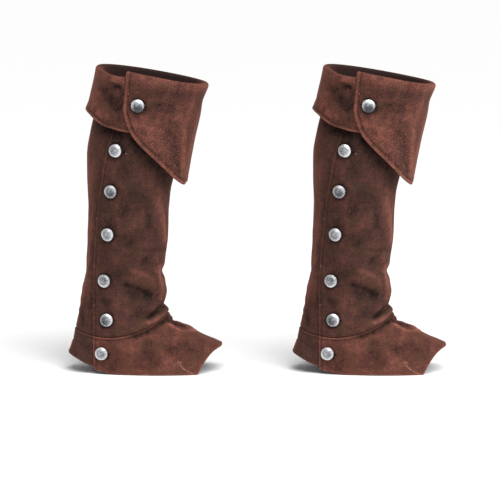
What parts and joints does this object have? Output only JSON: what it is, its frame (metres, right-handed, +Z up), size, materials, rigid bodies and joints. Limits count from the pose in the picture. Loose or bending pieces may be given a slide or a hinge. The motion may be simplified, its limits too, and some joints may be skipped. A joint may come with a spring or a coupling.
{
  "type": "pair of suede boot covers",
  "caption": "Hollow suede covers worn over boots, buttoned up the outer side, with a turned-down pointed cuff, an open mouth and an open hem over the toe and heel.",
  "frame": {"origin": "on the axis of the first cover's ankle, where the boot inside holds it, 100 mm above the hem of the foot", "axes": "+X to the toe and from the first cover to the second, +Z up the leg, -Y the buttoned outer side"},
  "size_m": [0.5693, 0.1625, 0.4603],
  "materials": {
    "suede_leg": "dark brown suede with a short soft nap",
    "suede_cuff": "reddish brown suede with a coarser, paler speckled nap",
    "suede_foot": "reddish brown suede with a short nap, a little scuffed",
    "suede_heel": "darkest brown suede",
    "button_metal": "antique silver, hammered, with dull grey patches"
  },
  "bodies": {
    "root": {"leg_front_1": "suede_leg", "leg_back_1": "suede_leg", "foot_front_1": "suede_foot", "foot_heel_1": "suede_heel", "cuff_flap_1": "suede_cuff", "cuff_back_1": "suede_cuff", "button_cuff_1": "button_metal", "button_1_1": "button_metal", "button_2_1": "button_metal", "button_3_1": "button_metal", "button_4_1": "button_metal", "button_5_1": "button_metal", "button_6_1": "button_metal", "leg_front_2": "suede_leg", "leg_back_2": "suede_leg", "foot_front_2": "suede_foot", "foot_heel_2": "suede_heel", "cuff_flap_2": "suede_cuff", "cuff_back_2": "suede_cuff", "button_cuff_2": "button_metal", "button_1_2": "button_metal", "button_2_2": "button_metal", "button_3_2": "button_metal", "button_4_2": "button_metal", "button_5_2": "button_metal", "button_6_2": "button_metal"}
  },
  "joints": []
}
